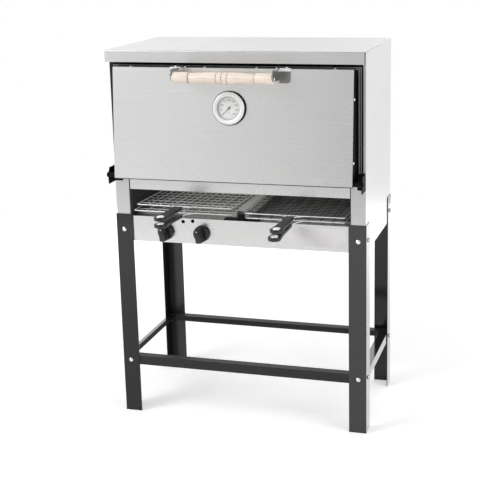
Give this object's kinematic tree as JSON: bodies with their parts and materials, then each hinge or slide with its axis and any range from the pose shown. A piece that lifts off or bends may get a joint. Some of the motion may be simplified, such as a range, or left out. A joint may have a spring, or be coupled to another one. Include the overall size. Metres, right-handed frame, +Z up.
{
  "type": "pizza oven",
  "caption": "Free-standing gas pizza oven: leaning drop-down door with wooden handle over an open grill slot with wire baskets, on a black angle-iron stand.",
  "frame": {"origin": "centre of the bottom of the oven's bounding box, on the floor", "axes": "+Z up, -Y towards the front with its door, knobs and grips, +X to the right seen from the front"},
  "size_m": [0.7076, 0.5747, 1.032],
  "materials": {
    "stainless": "fine brushed",
    "black_paint": "gloss",
    "black_enamel": "satin",
    "zinc": "zinc plated",
    "bright_wire": "bright plated",
    "aluminised": "matte",
    "ceramic_wool": "matte",
    "fire_clay": "matte, opaque",
    "brass": "machined",
    "black_plastic": "matte",
    "pine": "satin varnish",
    "dial_white": "matte",
    "needle_black": "matte",
    "clear_glass": "clear"
  },
  "bodies": {
    "oven": {"side_panel_left": "stainless", "side_panel_right": "stainless", "back_panel": "stainless", "top_cover": "stainless", "control_panel": "stainless", "oven_deck": "stainless", "centre_rail": "stainless", "drip_tray": "stainless", "leg_front_left": "black_paint", "leg_front_right": "black_paint", "leg_back_left": "black_paint", "leg_back_right": "black_paint", "crossbar_front": "black_paint", "crossbar_back": "black_paint", "crossbar_left": "black_paint", "crossbar_right": "black_paint", "centre_rail_bracket": "black_paint", "hinge_ear_left": "black_paint", "hinge_ear_right": "black_paint", "door_frame": "black_enamel", "slot_wall_left": "aluminised", "slot_wall_right": "aluminised", "basket_ledge_left": "aluminised", "basket_ledge_right": "aluminised", "chamber_liner": "aluminised", "burner_left": "aluminised", "burner_right": "aluminised", "insulation_wool": "ceramic_wool", "hearth_stone": "fire_clay", "burner_plate_left": "fire_clay", "burner_plate_right": "fire_clay", "gas_manifold": "brass", "gas_valve_left": "brass", "gas_valve_right": "brass", "feed_pipe_left": "brass", "feed_pipe_right": "brass"},
    "door": {"door_panel": "stainless", "door_pan": "black_enamel", "door_wool": "ceramic_wool", "handle_bracket_left": "stainless", "handle_bracket_right": "stainless", "handle_screw_left": "zinc", "handle_screw_right": "zinc", "wooden_handle": "pine", "thermometer_case": "stainless", "thermometer_dial": "dial_white", "thermometer_glass": "clear_glass", "hinge_bolt_left": "zinc", "hinge_bolt_right": "zinc"},
    "thermometer_needle": {"thermometer_needle": "needle_black"},
    "knob_left": {"knob_left": "black_plastic"},
    "knob_right": {"knob_right": "black_plastic"},
    "basket_left": {"basket_left_lower": "bright_wire", "grip_left_lower": "black_plastic"},
    "basket_left_lid": {"basket_left_upper": "bright_wire", "grip_left_upper": "black_plastic"},
    "basket_right": {"basket_right_lower": "bright_wire", "grip_right_lower": "black_plastic"},
    "basket_right_lid": {"basket_right_upper": "bright_wire", "grip_right_upper": "black_plastic"}
  },
  "joints": [
    {"name": "door_hinge", "type": "hinge", "parent": "oven", "child": "door", "pos_m": [0, -0.16125, 0.7], "axis": [1, 0, 0], "range_deg": [0, 90]},
    {"name": "thermometer_needle_turn", "type": "hinge", "parent": "door", "child": "thermometer_needle", "pos_m": [0, -0.15971, 0.88789], "axis": [0, 0.9968, -0.0795], "range_deg": [0, 270]},
    {"name": "knob_left_turn", "type": "hinge", "parent": "oven", "child": "knob_left", "pos_m": [-0.206, -0.11895, 0.5362], "axis": [0, -1, 0], "range_deg": [0, 180]},
    {"name": "knob_right_turn", "type": "hinge", "parent": "oven", "child": "knob_right", "pos_m": [-0.103, -0.11895, 0.5362], "axis": [0, -1, 0], "range_deg": [0, 180]},
    {"name": "basket_left_slide", "type": "slide", "parent": "oven", "child": "basket_left", "axis": [0, -1, 0], "range_m": [0, 0.24]},
    {"name": "basket_left_lid_hinge", "type": "hinge", "parent": "basket_left", "child": "basket_left_lid", "pos_m": [-0.155, 0.20275, 0.5963], "axis": [-1, 0, 0], "range_deg": [0, 3.2]},
    {"name": "basket_right_slide", "type": "slide", "parent": "oven", "child": "basket_right", "axis": [0, -1, 0], "range_m": [0, 0.24]},
    {"name": "basket_right_lid_hinge", "type": "hinge", "parent": "basket_right", "child": "basket_right_lid", "pos_m": [0.155, 0.20275, 0.5963], "axis": [-1, 0, 0], "range_deg": [0, 4]}
  ]
}
